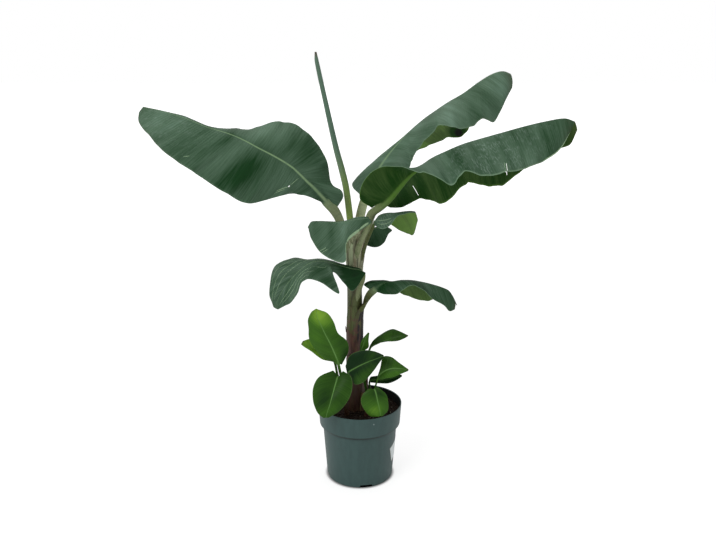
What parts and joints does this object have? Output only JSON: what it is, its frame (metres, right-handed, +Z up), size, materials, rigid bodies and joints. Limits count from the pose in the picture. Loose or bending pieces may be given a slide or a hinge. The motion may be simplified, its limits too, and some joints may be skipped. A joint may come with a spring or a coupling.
{
  "type": "potted banana plant",
  "caption": "Young banana plant with a tall stem, broad arching leaves, one rolled new leaf and leafy side shoots, in a plain round nursery pot with a blank sticker.",
  "frame": {"origin": "on the floor under the middle of the pot, which is the middle of the plant's box to within a few millimetres", "axes": "+Z up along the stem, -Y toward the front, the side that the picture shows, +X to the right seen from the front"},
  "size_m": [1.0503, 0.4756, 1.199],
  "materials": {
    "pot": "satin dark green-grey",
    "label": "matt white",
    "soil": "rough and crumbly",
    "stem": "smooth sheaths, drier and reddish at the foot",
    "leaf": "soft sheen",
    "young_leaf": "soft sheen"
  },
  "bodies": {
    "root": {"pot": "pot", "pot_label": "label", "soil": "soil", "pseudostem": "stem", "sucker_left": "stem", "sucker_right": "stem", "sucker_back": "stem", "leaf_spear": "leaf", "leaf_top_left": "leaf", "leaf_top_back": "leaf", "leaf_top_right": "leaf", "leaf_mid_left": "leaf", "leaf_mid_right": "leaf", "leaf_mid_back": "leaf", "leaf_low_left": "leaf", "leaf_low_right": "leaf", "pup_left_top": "young_leaf", "pup_left_side": "young_leaf", "pup_left_front": "young_leaf", "pup_middle": "young_leaf", "pup_right_top": "young_leaf", "pup_right_under": "young_leaf", "pup_front": "young_leaf", "pup_right_back": "young_leaf", "pup_new": "young_leaf"}
  },
  "joints": []
}
